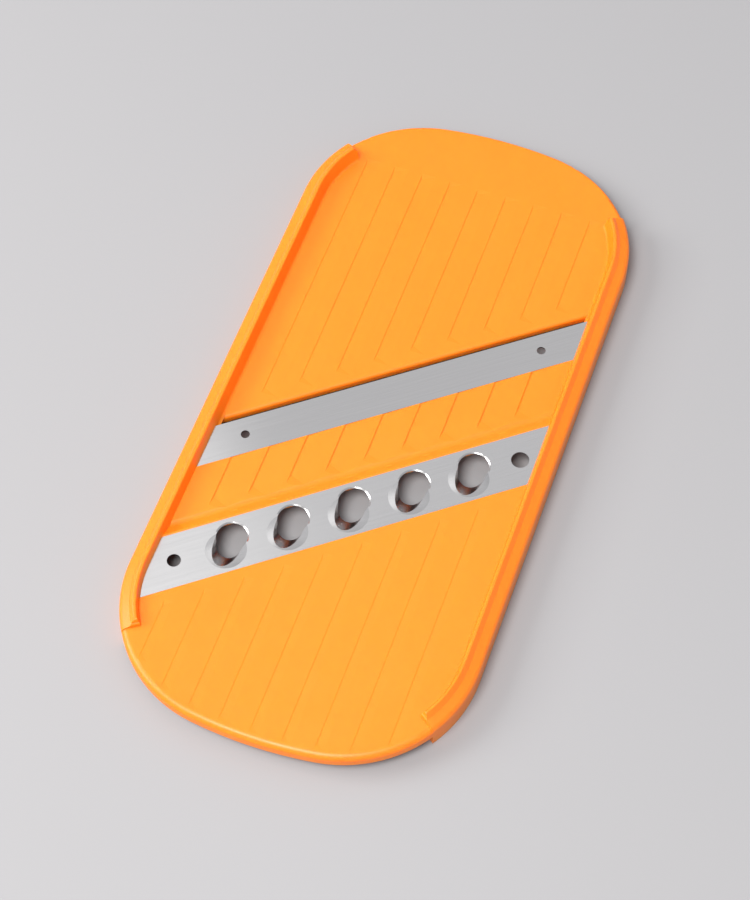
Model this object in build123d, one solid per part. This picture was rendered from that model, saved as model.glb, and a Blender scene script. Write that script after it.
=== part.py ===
from build123d import *
import math
import os

# One-piece moulded vegetable slicer with two fixed steel blades.
# Millimetres; base on z = 0, +Y along the length towards the feeding end, +Z up.
# "Across the blades" is a distance from the centre, square to both strips, + towards the feeding end.

LENGTH = 240.0          # over both rounded end tongues
WIDTH = 113.4           # over the outer side walls
END_R = 140.0           # shallow arc across each end
CORNER_R = 43.0         # arc joining an end to a side

BASE_Z = 0.0
UPPER_Z = 6.8           # feeding deck
MIDDLE_Z = 8.0          # deck behind the slicing blade
LOWER_Z = 9.1           # deck behind the shredding plate
FLANGE_Z = 9.0          # outer edge of each rail's margin, which slopes up to
MARGIN_Z = 10.5         # the foot of the crest
RIDGE_Z = 12.0          # crest of each rail
DECK_T = 2.6
LIP_Z = 4.2             # underside of the rim round both tongues
WALL_T = 2.4            # skirt of each rail

FLANGE_IN = 3.3         # insets from the outline, going inwards
CREST_OUT = 4.6
CREST_IN = 5.5
WALL_FOOT = 6.9
RAIL_END = 33.0         # rails stop on this line through each corner centre, degrees
RAIL_END_LEAN = 20.0    # slope of the crest's ends, degrees from upright

TILT = 37.8             # blades against the X axis, degrees
UPPER_EDGE = 15.9       # distances across the blades, from the centre
SLICER_FRONT = 13.25
SLICER_BACK = 0.6
RIB_STOP_MIDDLE = -14.0
RAMP_TOP = -15.9        # a soft step down, then a ramp rising to the shredding plate
RAMP_FOOT = -17.2
RAMP_Z = 7.55
PLATE_FRONT = -21.0
PLATE_BACK = -39.1

SLICER_T = 0.6
SLICER_HOLE_R = 1.45
SLICER_HOLE_XS = (-40.0, 39.3)
PLATE_T = 0.5
PLATE_Z = 8.9           # top of the shredding plate
PLATE_SEAT = 1.2        # width of the seat under each long edge of the plate
PLATE_HOLES = ((-43.8, 2.2), (45.6, 2.88))      # x and radius of each location hole
EMBED_X = 51.8          # steel strips run this far into the rails

RIB_PITCH = 10.0
RIB_COUNT = 9
RIB_FIRST_X = -41.3
RIB_TOP_Y = 96.8

SCOOP_COUNT = 5
SCOOP_PITCH_X = 15.65
SCOOP_FIRST_X = -30.05
SCOOP_ACROSS = -27.7    # centre line of the scoop holes, across the blades
SCOOP_R = 4.95
SCOOP_EDGE_W = 0.4      # ground bevel round the far half of each hole
SCOOP_EDGE_H = 0.3
GOUGE_R = 4.6           # sloping channel pressed down from the plate beside each hole
GOUGE_SLOPE = 30.0
GOUGE_SHIFT = -1.5
MOUND_R = 6.5           # low swelling round each channel
MOUND_H = 0.5
MOUND_SHIFT = -4.9

COS_T = math.cos(math.radians(TILT))
SIN_T = math.sin(math.radians(TILT))
TAN_T = math.tan(math.radians(TILT))


def corner_centre():
    """Centre of the corner arc on the positive side of both axes."""
    x = WIDTH / 2 - CORNER_R
    return x, LENGTH / 2 - END_R + math.sqrt((END_R - CORNER_R) ** 2 - x ** 2)


def outline(inset):
    """Closed plan outline, moved inwards by inset."""
    half_w = WIDTH / 2 - inset
    corner = CORNER_R - inset
    end = END_R - inset
    end_y = LENGTH / 2 - END_R
    corner_x, corner_y = corner_centre()
    lean = math.atan2(corner_x, corner_y - end_y)
    join = (end * math.sin(lean), end_y + end * math.cos(lean))
    bulge = (math.pi / 2 - lean) / 2
    mid = (corner_x + corner * math.cos(bulge), corner_y + corner * math.sin(bulge))
    tip = (0.0, end_y + end)

    def at(point, sx, sy):
        return (point[0] * sx, point[1] * sy)

    side = (half_w, corner_y)
    edges = [
        Line(at(side, 1, -1), at(side, 1, 1)),
        ThreePointArc(at(side, 1, 1), at(mid, 1, 1), at(join, 1, 1)),
        ThreePointArc(at(join, 1, 1), tip, at(join, -1, 1)),
        ThreePointArc(at(join, -1, 1), at(mid, -1, 1), at(side, -1, 1)),
        Line(at(side, -1, 1), at(side, -1, -1)),
        ThreePointArc(at(side, -1, -1), at(mid, -1, -1), at(join, -1, -1)),
        ThreePointArc(at(join, -1, -1), (tip[0], -tip[1]), at(join, 1, -1)),
        ThreePointArc(at(join, 1, -1), at(mid, 1, -1), at(side, 1, -1)),
    ]
    return make_face(Wire(edges))


def prism(inset, z0, z1, taper=0.0):
    """The outline raised from z0 to z1, its wall leaning in by taper degrees."""
    face = Pos(0, 0, z0) * outline(inset)
    return extrude(face, z1 - z0, taper=taper)


def across(points):
    """Solid with a cross-section drawn square to the blades: (distance, height) pairs."""
    plane = Plane((0, 0, 0), x_dir=(-SIN_T, COS_T, 0), z_dir=(COS_T, SIN_T, 0))
    face = make_face(Polyline(*points, close=True))
    return extrude(plane * face, 110, both=True)


def soften(solid, line, radius):
    """Round a slab's straight edges at one (distance, height) across the blades."""
    picked = []
    for edge in solid.edges().filter_by(GeomType.LINE):
        middle = edge.center()
        distance = -middle.X * SIN_T + middle.Y * COS_T
        if abs(distance - line[0]) < 0.02 and abs(middle.Z - line[1]) < 0.02:
            picked.append(edge)
    return fillet(picked, radius)


def rimmed(z0, z1, radius):
    """Deck slab over the whole plan, its rim rounded above (by radius) and below."""
    slab = prism(0, z0, z1)
    slab = fillet(slab.faces().sort_by(Axis.Z)[-1].edges(), radius)
    return fillet(slab.faces().sort_by(Axis.Z)[0].edges(), 0.7)


def groove(x, y0, y1, z, depth, width, run):
    """Shallow saw-tooth groove from y0 down to y1, steep on the left, its ends rising over run."""
    section = Polyline((x - 0.1, z + 0.2), (x, z), (x + 0.45, z - depth), (x + width, z),
                       (x + width, z + 0.2), close=True)
    face = Plane((0, y0, 0), x_dir=(1, 0, 0), z_dir=(0, -1, 0)) * make_face(section)
    side = Polyline((y0, z + 0.2), (y0, z), (y0 - run, z - depth), (y1 + run, z - depth),
                    (y1, z), (y1, z + 0.2), close=True)
    length = Pos(x, 0, 0) * extrude(Plane.YZ * make_face(side), 2 * width, both=True)
    return extrude(face, y0 - y1) & length


def rib_xs():
    return [RIB_FIRST_X + RIB_PITCH * i for i in range(RIB_COUNT)]


def rim_y(x):
    """Y of the outline at x, positive end."""
    corner_x, corner_y = corner_centre()
    if abs(x) < END_R * corner_x / (END_R - CORNER_R):
        return LENGTH / 2 - END_R + math.sqrt(END_R ** 2 - x ** 2)
    return corner_y + math.sqrt(CORNER_R ** 2 - (abs(x) - corner_x) ** 2)


def upper_deck():
    low = UPPER_Z - DECK_T
    slab = across([(UPPER_EDGE, low), (260, low), (260, UPPER_Z), (UPPER_EDGE, UPPER_Z)])
    slab = soften(slab, (UPPER_EDGE, UPPER_Z), 1.2) & rimmed(low, UPPER_Z, 1.2)
    for x in rib_xs():
        stop = (UPPER_EDGE + 5.7) / COS_T + TAN_T * x
        slab -= groove(x, RIB_TOP_Y, stop, UPPER_Z, 0.2, 5.0, 2.2)
    return slab


def middle_deck():
    ledge_z = MIDDLE_Z - SLICER_T
    seat_z = PLATE_Z - PLATE_T
    slab = across([
        (SLICER_BACK + 2.4, MIDDLE_Z - DECK_T),
        (SLICER_BACK + 2.4, ledge_z),
        (SLICER_BACK, ledge_z),
        (SLICER_BACK, MIDDLE_Z),
        (RAMP_TOP, MIDDLE_Z),
        (RAMP_FOOT, RAMP_Z),
        (PLATE_FRONT + 0.6, PLATE_Z + 0.08),
        (PLATE_FRONT, PLATE_Z - 0.02),
        (PLATE_FRONT, seat_z),
        (PLATE_FRONT - PLATE_SEAT, seat_z),
        (PLATE_FRONT - PLATE_SEAT, seat_z - 1.6),
        (PLATE_FRONT, seat_z - 1.6),
        (RAMP_FOOT, MIDDLE_Z - DECK_T),
    ])
    slab = soften(slab, (RAMP_TOP, MIDDLE_Z), 1.8)
    slab = soften(slab, (RAMP_FOOT, RAMP_Z), 2.5)
    for x in rib_xs():
        start = (SLICER_BACK + 6.0) / COS_T + TAN_T * x
        stop = RIB_STOP_MIDDLE / COS_T + TAN_T * x
        slab -= groove(x, start, stop, MIDDLE_Z, 0.34, 9.0, 3.2)
    return slab & prism(1.0, 0, LOWER_Z)


def lower_deck():
    seat_z = PLATE_Z - PLATE_T
    slab = across([
        (PLATE_BACK + PLATE_SEAT, LIP_Z),
        (PLATE_BACK + PLATE_SEAT, seat_z),
        (PLATE_BACK, seat_z),
        (PLATE_BACK, LOWER_Z),
        (-260, LOWER_Z),
        (-260, LIP_Z),
    ])
    slab = soften(slab, (PLATE_BACK, LOWER_Z), 0.35) & rimmed(LIP_Z, LOWER_Z, 2.0)
    slab -= prism(WALL_T, LIP_Z, LOWER_Z - DECK_T)
    for x in rib_xs():
        start = (PLATE_BACK - 3.0) / COS_T + TAN_T * x
        slab -= groove(x, start, 2.4 - rim_y(x), LOWER_Z, 0.12, 3.0, 2.0)
    return slab


def rails():
    """Both rails: skirt, sloping margin, crest and inner wall, stopping short of the ends."""
    block = prism(0, BASE_Z, FLANGE_Z)
    margin_lean = math.degrees(math.atan2(FLANGE_IN, MARGIN_Z - FLANGE_Z))
    block += prism(0, FLANGE_Z, MARGIN_Z, margin_lean)
    brim = [edge for edge in block.edges() if abs(edge.center().Z - FLANGE_Z) < 0.02]
    block = fillet(brim, 2.0)
    crest_lean = math.degrees(math.atan2(CREST_OUT - FLANGE_IN, RIDGE_Z - MARGIN_Z))
    crest = prism(FLANGE_IN - 0.1, MARGIN_Z - 0.1, RIDGE_Z, crest_lean)
    wall_lean = math.degrees(math.atan2(WALL_FOOT - CREST_IN, RIDGE_Z - UPPER_Z))
    hollow = prism(WALL_FOOT, UPPER_Z, RIDGE_Z, -wall_lean)
    hollow = fillet(hollow.faces().sort_by(Axis.Z)[0].edges(), 1.0)
    frame = block + crest - hollow
    top = [edge for edge in frame.edges() if abs(edge.center().Z - RIDGE_Z) < 0.02]
    frame = fillet(top, 0.4)
    frame -= prism(WALL_FOOT, BASE_Z, UPPER_Z)
    frame -= prism(WALL_T, BASE_Z, UPPER_Z - DECK_T)
    frame -= prism(WALL_T, BASE_Z, FLANGE_Z - 2.2) - prism(CREST_OUT, BASE_Z, FLANGE_Z)
    return frame & rail_span()


def rail_span():
    """Space kept by the two rails, their ends sloped and rounded."""
    corner_x, corner_y = corner_centre()
    reach_x = 60 * math.cos(math.radians(RAIL_END))
    reach_y = 60 * math.sin(math.radians(RAIL_END))
    face = make_face(Polyline(
        (corner_x, -corner_y), (corner_x + reach_x, -corner_y - reach_y),
        (corner_x + reach_x, corner_y + reach_y), (corner_x, corner_y), close=True))
    low = extrude(face, MARGIN_Z + 0.3)
    low = fillet(low.faces().sort_by(Axis.Z)[-1].edges(), 0.9)
    start = MARGIN_Z - 1.2
    high = extrude(Pos(0, 0, start) * face, RIDGE_Z - start, taper=RAIL_END_LEAN)
    high = fillet(high.faces().sort_by(Axis.Z)[-1].edges(), 0.6)
    return low + high + mirror(low + high, Plane.YZ)


def strip(front, back, top, thickness):
    """Flat steel strip lying along the blades, its ends square to X."""
    reach = EMBED_X
    corners = [
        (-reach, front / COS_T - TAN_T * reach),
        (reach, front / COS_T + TAN_T * reach),
        (reach, back / COS_T + TAN_T * reach),
        (-reach, back / COS_T - TAN_T * reach),
    ]
    face = make_face(Polyline(*corners, close=True))
    return extrude(Pos(0, 0, top - thickness) * face, thickness)


def along_blade(x, distance):
    """Point at x on the line a given distance across the blades."""
    return (x, distance / COS_T + TAN_T * x)


def slicing_blade():
    blade = strip(SLICER_FRONT, SLICER_BACK, MIDDLE_Z, SLICER_T)
    bevel = across([
        (SLICER_FRONT + 1, MIDDLE_Z - 2),
        (SLICER_FRONT + 1, MIDDLE_Z - 0.06),
        (SLICER_FRONT, MIDDLE_Z - 0.06),
        (SLICER_FRONT - 1.8, MIDDLE_Z - SLICER_T),
        (SLICER_FRONT - 1.8, MIDDLE_Z - 2),
    ])
    blade -= bevel
    for x in SLICER_HOLE_XS:
        px, py = along_blade(x, (SLICER_FRONT + SLICER_BACK) / 2 + 0.3)
        blade -= Pos(px, py, MIDDLE_Z) * Cylinder(SLICER_HOLE_R, 4)
    return blade


def scoop_tools(x):
    """The swelling and channel to add at one scoop, and the two spaces to cut from it."""
    px, py = along_blade(x, SCOOP_ACROSS)
    place = Pos(px, py, PLATE_Z)
    near = Pos(0, -10, 0) * Box(30, 20, 30)
    pipe = Pos(0, GOUGE_SHIFT, 0) * Rot(-90 - GOUGE_SLOPE, 0, 0)
    gouge = (pipe * Cylinder(GOUGE_R, 60)) & near
    shell = (pipe * Cylinder(GOUGE_R + PLATE_T, 60)) & (Pos(0, -7.4, -2.05) * Box(30, 12, 4))
    ball = (MOUND_R ** 2 + MOUND_H ** 2) / (2 * MOUND_H)
    swelling = Pos(0, MOUND_SHIFT, MOUND_H - ball) * Sphere(ball)
    swelling &= Pos(0, 0, 4.95) * Box(30, 30, 10)
    hole = Cylinder(SCOOP_R, 12) + (Pos(0, -1.9, 0) * Cylinder(4.45, 12))
    bevel = Pos(0, 0, -SCOOP_EDGE_H / 2) * Cone(SCOOP_R, SCOOP_R + SCOOP_EDGE_W, SCOOP_EDGE_H)
    hole += bevel & (Pos(0, 10, 0) * Box(30, 20, 2))
    return place * (shell + swelling), place * gouge, place * hole


def shredding_plate():
    plate = strip(PLATE_FRONT, PLATE_BACK, PLATE_Z, PLATE_T)
    for x, radius in PLATE_HOLES:
        px, py = along_blade(x, (PLATE_FRONT + PLATE_BACK) / 2)
        plate -= Pos(px, py, PLATE_Z) * Cylinder(radius, 4)
    for i in range(SCOOP_COUNT):
        form, gouge, hole = scoop_tools(SCOOP_FIRST_X + SCOOP_PITCH_X * i)
        plate = plate + form - gouge - hole
    return plate


def moulding():
    skirts = rail_span() - prism(WALL_T, BASE_Z, RIDGE_Z)
    decks = upper_deck() + middle_deck() + lower_deck()
    solid = rails() + (decks - skirts)
    solid -= strip(SLICER_FRONT, SLICER_BACK, MIDDLE_Z, SLICER_T)
    solid -= strip(PLATE_FRONT, PLATE_BACK, PLATE_Z, PLATE_T)
    return solid


def save(name, solid):
    solid.label = name
    export_step(solid, "parts/" + name + ".step")


os.makedirs("parts", exist_ok=True)
save("body", moulding())
save("slicing_blade", slicing_blade())
save("shredding_plate", shredding_plate())
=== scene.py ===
import bpy
import math
from mathutils import Matrix, Vector

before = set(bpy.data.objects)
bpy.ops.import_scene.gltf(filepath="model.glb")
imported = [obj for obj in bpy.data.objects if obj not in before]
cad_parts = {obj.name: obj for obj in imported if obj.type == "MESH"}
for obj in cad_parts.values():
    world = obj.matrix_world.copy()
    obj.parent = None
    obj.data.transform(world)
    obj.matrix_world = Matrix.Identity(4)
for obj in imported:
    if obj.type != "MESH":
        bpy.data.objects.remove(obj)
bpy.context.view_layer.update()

# ---------------------------------------------------------------- camera
CAM_TURN = 20.9         # degrees the object's length leans to the right in the view
CAM_RISE = 58.8         # degrees above the floor
CAM_ROLL = 1.4
CAM_DISTANCE = 0.6972   # metres from the point looked at
CAM_LENS = 86.8
CAM_AIM = (-0.0013, 0.0036, 0.0068)
CAM_SLIDE = (-0.003725, -0.014062)   # metres right and up, in the camera's own axes


def camera_axes():
    """Right, up and back of the camera, in the CAD frame."""
    a, e, r = (math.radians(v) for v in (CAM_TURN, CAM_RISE, CAM_ROLL))
    right = Vector((math.cos(a), math.sin(a), 0.0))
    ahead = Vector((-math.sin(a), math.cos(a), 0.0))
    back = -ahead * math.cos(e) + Vector((0.0, 0.0, math.sin(e)))
    up = ahead * math.sin(e) + Vector((0.0, 0.0, math.cos(e)))
    return right * math.cos(r) - up * math.sin(r), right * math.sin(r) + up * math.cos(r), back


def add_camera():
    right, up, back = camera_axes()
    data = bpy.data.cameras.new("camera")
    data.lens = CAM_LENS
    data.sensor_width = 36.0
    data.clip_start, data.clip_end = 0.01, 20.0
    cam = bpy.data.objects.new("camera", data)
    bpy.context.scene.collection.objects.link(cam)
    place = Vector(CAM_AIM) + right * CAM_SLIDE[0] + up * CAM_SLIDE[1] + back * CAM_DISTANCE
    turn = Matrix((right, up, back)).transposed().to_4x4()
    cam.matrix_world = Matrix.Translation(place) @ turn
    bpy.context.scene.camera = cam


# ---------------------------------------------------------------- materials
BLADE_TILT = 37.8       # degrees, strips against the X axis: the way their brushing runs

ORANGE_DEEP = (0.965, 0.209, 0.004, 1)
ORANGE_MID = (0.975, 0.220, 0.006, 1)
ORANGE_PALE = (0.98, 0.228, 0.008, 1)
SLICER_TONE = (0.56, 0.55, 0.545)
PLATE_TONE = (0.61, 0.60, 0.595)
FLOOR_DARK = (0.318, 0.314, 0.322, 1)
FLOOR_LIGHT = (0.325, 0.321, 0.329, 1)

# brushing: stretch of each noise along and across a strip, in noise cells per metre
FINE_BRUSHING = (40.0, 5200.0, 5200.0)
COARSE_BRUSHING = (9.0, 900.0, 900.0)


class Graph:
    """Short helper for building a node material."""

    def __init__(self, name):
        self.mat = bpy.data.materials.new(name)
        self.mat.use_nodes = True
        self.tree = self.mat.node_tree
        self.tree.nodes.clear()
        self.out = self.tree.nodes.new("ShaderNodeOutputMaterial")

    def node(self, kind, inputs=(), **props):
        made = self.tree.nodes.new("ShaderNode" + kind)
        for key, value in props.items():
            setattr(made, key, value)
        for key, value in dict(inputs).items():
            self.feed(made, key, value)
        return made

    def feed(self, node, key, value):
        socket = node.inputs[key]
        if isinstance(value, bpy.types.NodeSocket):
            self.tree.links.new(value, socket)
        else:
            socket.default_value = value

    def point(self, scale=(1, 1, 1), turn=0.0):
        """Object coordinates turned about Z, then scaled along the turned axes."""
        coords = self.node("TexCoord").outputs["Object"]
        shrink = [1 / v for v in scale]
        mapping = self.node("Mapping", {"Vector": coords, "Scale": shrink}, vector_type="TEXTURE")
        mapping.inputs["Rotation"].default_value = (0, 0, turn)
        return mapping.outputs["Vector"]

    def noise(self, scale, detail=2.0, rough=0.5, at=None):
        inputs = {"Vector": at or self.point(), "Scale": scale, "Detail": detail, "Roughness": rough}
        return self.node("TexNoise", inputs).outputs["Fac"]

    def spread(self, value, low, high, lo=0.0, hi=1.0):
        """Value mapped from low..high to lo..hi."""
        inputs = {"Value": value, "From Min": low, "From Max": high, "To Min": lo, "To Max": hi}
        return self.node("MapRange", inputs).outputs["Result"]

    def mix(self, fac, a, b):
        """Colour between a and b; a colour mix keeps its sockets at these places."""
        node = self.node("Mix", data_type="RGBA")
        self.feed(node, 0, fac)
        self.feed(node, 6, a)
        self.feed(node, 7, b)
        return node.outputs[2]

    def bump(self, height, strength, distance, normal=None):
        node = self.node("Bump", {"Height": height, "Strength": strength, "Distance": distance})
        if normal is not None:
            self.feed(node, "Normal", normal)
        return node.outputs["Normal"]

    def finish(self, shader):
        self.tree.links.new(shader.outputs[0], self.out.inputs["Surface"])
        return self.mat


def orange_plastic():
    g = Graph("orange_moulded_plastic")
    broad = g.noise(9.0, 2.0, 0.5)
    cloud = g.noise(60.0, 3.0, 0.55)
    tone = g.mix(g.spread(broad, 0.3, 0.7), ORANGE_DEEP, ORANGE_MID)
    tone = g.mix(g.spread(cloud, 0.35, 0.65, 0.0, 0.35), tone, ORANGE_PALE)
    rough = g.spread(g.noise(140.0, 3.0, 0.6), 0.3, 0.7, 0.38, 0.46)
    grain = g.noise(2600.0, 2.0, 0.5)
    swell = g.noise(70.0, 1.0, 0.4)
    normal = g.bump(swell, 0.12, 0.0006, g.bump(grain, 0.10, 0.00004))
    shader = g.node("BsdfPrincipled", {
        "Base Color": tone,
        "Roughness": rough,
        "IOR": 1.48,
        "Subsurface Weight": 0.45,
        "Subsurface Radius": (1.0, 0.22, 0.05),
        "Subsurface Scale": 0.005,
        "Normal": normal,
    })
    return g.finish(shader)


def steel(name, tone, low, high):
    """Steel brushed along the strips, its roughness between low and high."""
    g = Graph(name)
    tilt = math.radians(BLADE_TILT)
    fine = g.noise(1.0, 3.0, 0.6, g.point(FINE_BRUSHING, tilt))
    coarse = g.noise(1.0, 2.0, 0.5, g.point(COARSE_BRUSHING, tilt))
    cloud = g.noise(45.0, 3.0, 0.55)
    dark = tuple(v * 0.975 for v in tone) + (1,)
    light = tuple(min(v * 1.02, 1.0) for v in tone) + (1,)
    colour = g.mix(g.spread(fine, 0.35, 0.65), dark, light)
    patches = g.node("Math", {0: coarse, 1: cloud}, operation="MULTIPLY").outputs[0]
    rough = g.spread(patches, 0.1, 0.45, low, high)
    normal = g.bump(fine, 0.02, 0.00001)
    shader = g.node("BsdfPrincipled", {
        "Base Color": colour,
        "Metallic": 1.0,
        "Roughness": rough,
        "Normal": normal,
    })
    return g.finish(shader)


def pale_floor():
    g = Graph("pale_floor")
    cloud = g.noise(3.0, 2.0, 0.5)
    fine = g.noise(900.0, 2.0, 0.5)
    tone = g.mix(g.spread(cloud, 0.3, 0.7), FLOOR_DARK, FLOOR_LIGHT)
    shader = g.node("BsdfPrincipled", {
        "Base Color": tone,
        "Roughness": 0.75,
        "Specular IOR Level": 0.25,
        "Normal": g.bump(fine, 0.04, 0.0001),
    })
    return g.finish(shader)


# ---------------------------------------------------------------- stage
FLOOR_HALF = 1.6        # metres either side of the object, and in front of it
SWEEP_START = 1.3       # where the floor starts to curve up behind it
SWEEP_RADIUS = 0.5
SWEEP_STEPS = 14
WALL_TOP = 1.2

LAMP_COLOUR = (1.0, 0.985, 0.965)
WORLD_COLOUR = (0.95, 0.96, 1.0, 1)
WORLD_STRENGTH = 0.58


def add_floor():
    """Floor that sweeps up into a low wall behind the object."""
    rows = [(-FLOOR_HALF, 0.0), (SWEEP_START, 0.0)]
    for i in range(1, SWEEP_STEPS + 1):
        turn = math.pi / 2 * i / SWEEP_STEPS
        y = SWEEP_START + SWEEP_RADIUS * math.sin(turn)
        rows.append((y, SWEEP_RADIUS - SWEEP_RADIUS * math.cos(turn)))
    rows.append((SWEEP_START + SWEEP_RADIUS, WALL_TOP))
    verts, faces = [], []
    for y, z in rows:
        verts += [(-FLOOR_HALF, y, z), (FLOOR_HALF, y, z)]
    for i in range(len(rows) - 1):
        faces.append((2 * i, 2 * i + 1, 2 * i + 3, 2 * i + 2))
    mesh = bpy.data.meshes.new("floor")
    mesh.from_pydata(verts, [], faces)
    for face in mesh.polygons:
        face.use_smooth = True
    floor = bpy.data.objects.new("floor", mesh)
    bpy.context.scene.collection.objects.link(floor)
    floor.data.materials.append(pale_floor())


def add_light(name, place, aim, size, watts, colour=(1, 1, 1)):
    """Rectangular lamp at place, facing aim."""
    data = bpy.data.lights.new(name, "AREA")
    data.shape = "RECTANGLE"
    data.size, data.size_y = size
    data.energy = watts
    data.color = colour
    lamp = bpy.data.objects.new(name, data)
    bpy.context.scene.collection.objects.link(lamp)
    lamp.location = place
    lamp.rotation_mode = "QUATERNION"
    lamp.rotation_quaternion = (Vector(aim) - Vector(place)).to_track_quat("-Z", "Y")


def from_view(right_amount, ahead_amount, height):
    """A place given by how far right, away from the camera and up it is."""
    right, _, back = camera_axes()
    ahead = Vector((-back.x, -back.y, 0)).normalized()
    side = Vector((right.x, right.y, 0)).normalized()
    return side * right_amount + ahead * ahead_amount + Vector((0, 0, height))


def add_lights():
    """Key and side lamps light the object; panel and glow are there for the steel to reflect."""
    centre = (0, 0, 0)
    add_light("key", from_view(-0.48, -0.70, 1.60), centre, (0.8, 0.8), 37.0, LAMP_COLOUR)
    add_light("side", from_view(-1.30, 0.10, 0.85), centre, (0.9, 0.7), 19.0, LAMP_COLOUR)
    add_light("panel", from_view(-0.1, 0.75, 1.25), centre, (1.0, 0.8), 0.65)
    add_light("glow", (-0.36, 0.27, 0.90), (-0.04, -0.07, 0.0), (0.32, 0.26), 0.15)
    world = bpy.data.worlds.new("studio")
    world.use_nodes = True
    background = world.node_tree.nodes["Background"]
    background.inputs["Color"].default_value = WORLD_COLOUR
    background.inputs["Strength"].default_value = WORLD_STRENGTH
    bpy.context.scene.world = world
    bpy.context.scene.view_settings.view_transform = "Standard"


# ---------------------------------------------------------------- pieces
def dress():
    """Give each CAD node its material."""
    looks = {
        "body": orange_plastic(),
        "slicing_blade": steel("slicer_steel", SLICER_TONE, 0.12, 0.17),
        "shredding_plate": steel("plate_steel", PLATE_TONE, 0.19, 0.25),
    }
    for name, material in looks.items():
        node = bpy.data.objects[name]
        for i in range(len(node.data.materials)):
            node.material_slots[i].link = "OBJECT"
            node.material_slots[i].material = material


add_camera()
add_floor()
add_lights()
dress()
